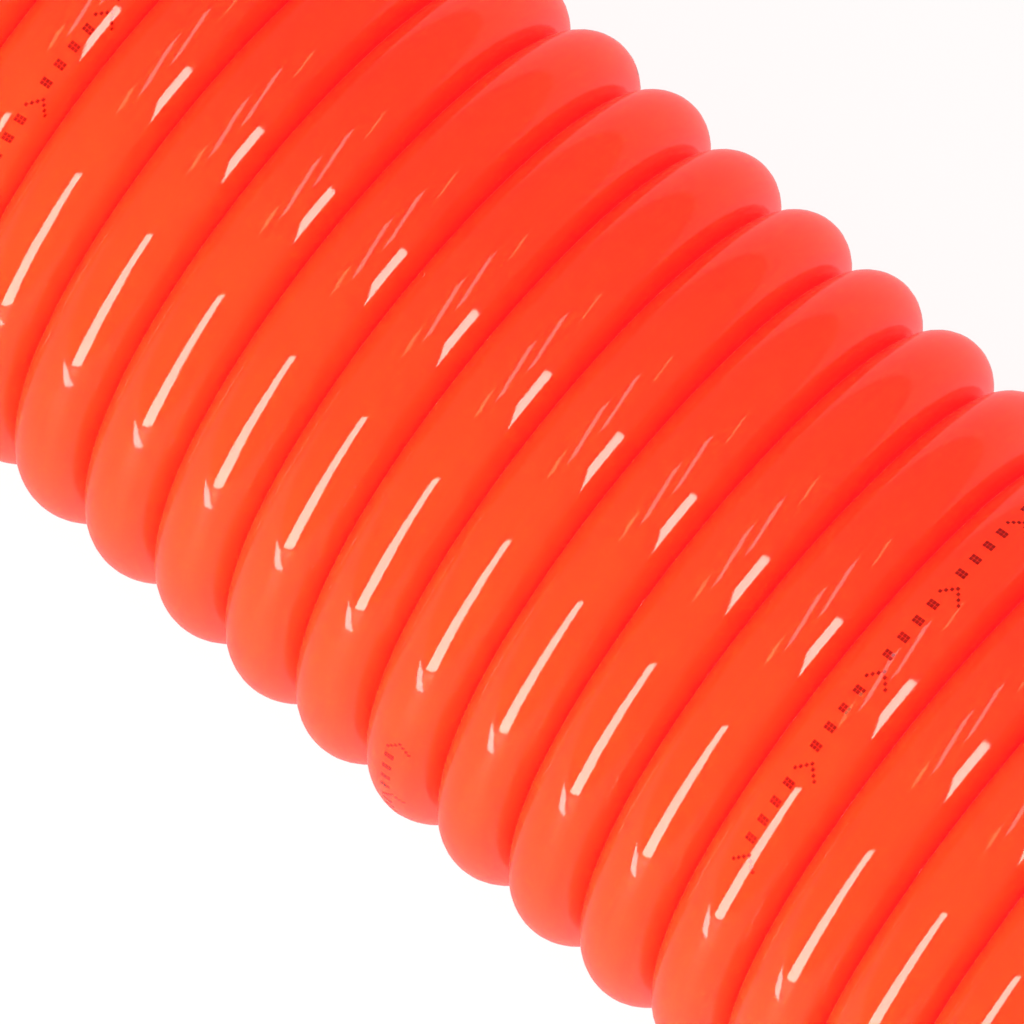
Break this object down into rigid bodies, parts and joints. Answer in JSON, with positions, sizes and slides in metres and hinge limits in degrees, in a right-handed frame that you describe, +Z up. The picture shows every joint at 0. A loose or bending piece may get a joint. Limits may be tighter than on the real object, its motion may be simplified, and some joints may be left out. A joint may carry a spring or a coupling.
{
  "type": "coiled air hose",
  "caption": "Self-recoiling coiled polyurethane air hose with a swivelling plug at its inlet and a swivelling quick coupler at its outlet.",
  "frame": {"origin": "on the floor, under the middle of the coil, at the centre of the whole part's footprint", "axes": "+X along the coil's axis from the inlet to the outlet, +Z up"},
  "size_m": [0.679, 0.164, 0.094],
  "materials": {
    "hose": "glossy translucent orange-red polyurethane",
    "nickel": "nickel-plated turned steel",
    "brass": "turned brass",
    "spring_steel": "bright drawn wire",
    "balls": "polished bearing steel",
    "seals": "matt black nitrile rubber",
    "washers": "white low-friction plastic"
  },
  "bodies": {
    "hose": {"hose_coil": "hose", "inlet_tail": "hose", "inlet_barb": "brass", "inlet_nut": "brass", "inlet_bend_guard": "spring_steel", "inlet_swivel_seal": "seals", "inlet_swivel_ring": "spring_steel", "inlet_washer": "washers"},
    "plug": {"plug_body": "nickel"},
    "outlet": {"outlet_tail": "hose", "outlet_barb": "brass", "outlet_nut": "brass", "outlet_bend_guard": "spring_steel", "outlet_swivel_seal": "seals", "outlet_swivel_ring": "spring_steel", "outlet_washer": "washers"},
    "coupler": {"socket_body": "brass", "socket_adapter": "nickel", "body_gasket": "seals", "front_seal": "seals", "stop_ring": "spring_steel", "sleeve_spring": "spring_steel", "valve_spring": "spring_steel"},
    "sleeve": {"sleeve": "nickel"},
    "valve": {"valve_poppet": "brass", "valve_seal": "seals"},
    "lock_ball_1": {"lock_ball_1": "balls"},
    "lock_ball_2": {"lock_ball_2": "balls"},
    "lock_ball_3": {"lock_ball_3": "balls"},
    "lock_ball_4": {"lock_ball_4": "balls"},
    "lock_ball_5": {"lock_ball_5": "balls"},
    "lock_ball_6": {"lock_ball_6": "balls"}
  },
  "joints": [
    {"name": "coil_stretch", "type": "slide", "parent": "hose", "child": "outlet", "axis": [1, 0, 0], "range_m": [0, 1.5], "stiffness_N_per_m": 14, "deforming": ["hose_coil"]},
    {"name": "plug_swivel", "type": "hinge", "parent": "hose", "child": "plug", "pos_m": [-0.3065, -0.069, 0.013], "axis": [-1, 0, 0], "continuous": true},
    {"name": "coupler_swivel", "type": "hinge", "parent": "outlet", "child": "coupler", "pos_m": [0.2955, 0.069, 0.013], "axis": [1, 0, 0], "continuous": true},
    {"name": "sleeve_slide", "type": "slide", "parent": "coupler", "child": "sleeve", "axis": [-1, 0, 0], "range_m": [0, 0.0045], "stiffness_N_per_m": 3000, "springref_m": -0.004, "deforming": ["sleeve_spring"]},
    {"name": "valve_slide", "type": "slide", "parent": "coupler", "child": "valve", "axis": [-1, 0, 0], "range_m": [0, 0.0034], "stiffness_N_per_m": 2000, "springref_m": -0.003, "deforming": ["valve_spring"]},
    {"name": "lock_ball_1_slide", "type": "slide", "parent": "coupler", "child": "lock_ball_1", "axis": [0, 0, 1], "range_m": [0, 0.0012]},
    {"name": "lock_ball_2_slide", "type": "slide", "parent": "coupler", "child": "lock_ball_2", "axis": [0, 0.866, 0.5], "range_m": [0, 0.0012]},
    {"name": "lock_ball_3_slide", "type": "slide", "parent": "coupler", "child": "lock_ball_3", "axis": [0, 0.866, -0.5], "range_m": [0, 0.0012]},
    {"name": "lock_ball_4_slide", "type": "slide", "parent": "coupler", "child": "lock_ball_4", "axis": [0, 0, -1], "range_m": [0, 0.0012]},
    {"name": "lock_ball_5_slide", "type": "slide", "parent": "coupler", "child": "lock_ball_5", "axis": [0, -0.866, -0.5], "range_m": [0, 0.0012]},
    {"name": "lock_ball_6_slide", "type": "slide", "parent": "coupler", "child": "lock_ball_6", "axis": [0, -0.866, 0.5], "range_m": [0, 0.0012]}
  ],
  "couplings": [
    {"joint": "lock_ball_1_slide", "follows": "sleeve_slide", "ratio": 0.25},
    {"joint": "lock_ball_2_slide", "follows": "sleeve_slide", "ratio": 0.25},
    {"joint": "lock_ball_3_slide", "follows": "sleeve_slide", "ratio": 0.25},
    {"joint": "lock_ball_4_slide", "follows": "sleeve_slide", "ratio": 0.25},
    {"joint": "lock_ball_5_slide", "follows": "sleeve_slide", "ratio": 0.25},
    {"joint": "lock_ball_6_slide", "follows": "sleeve_slide", "ratio": 0.25}
  ]
}
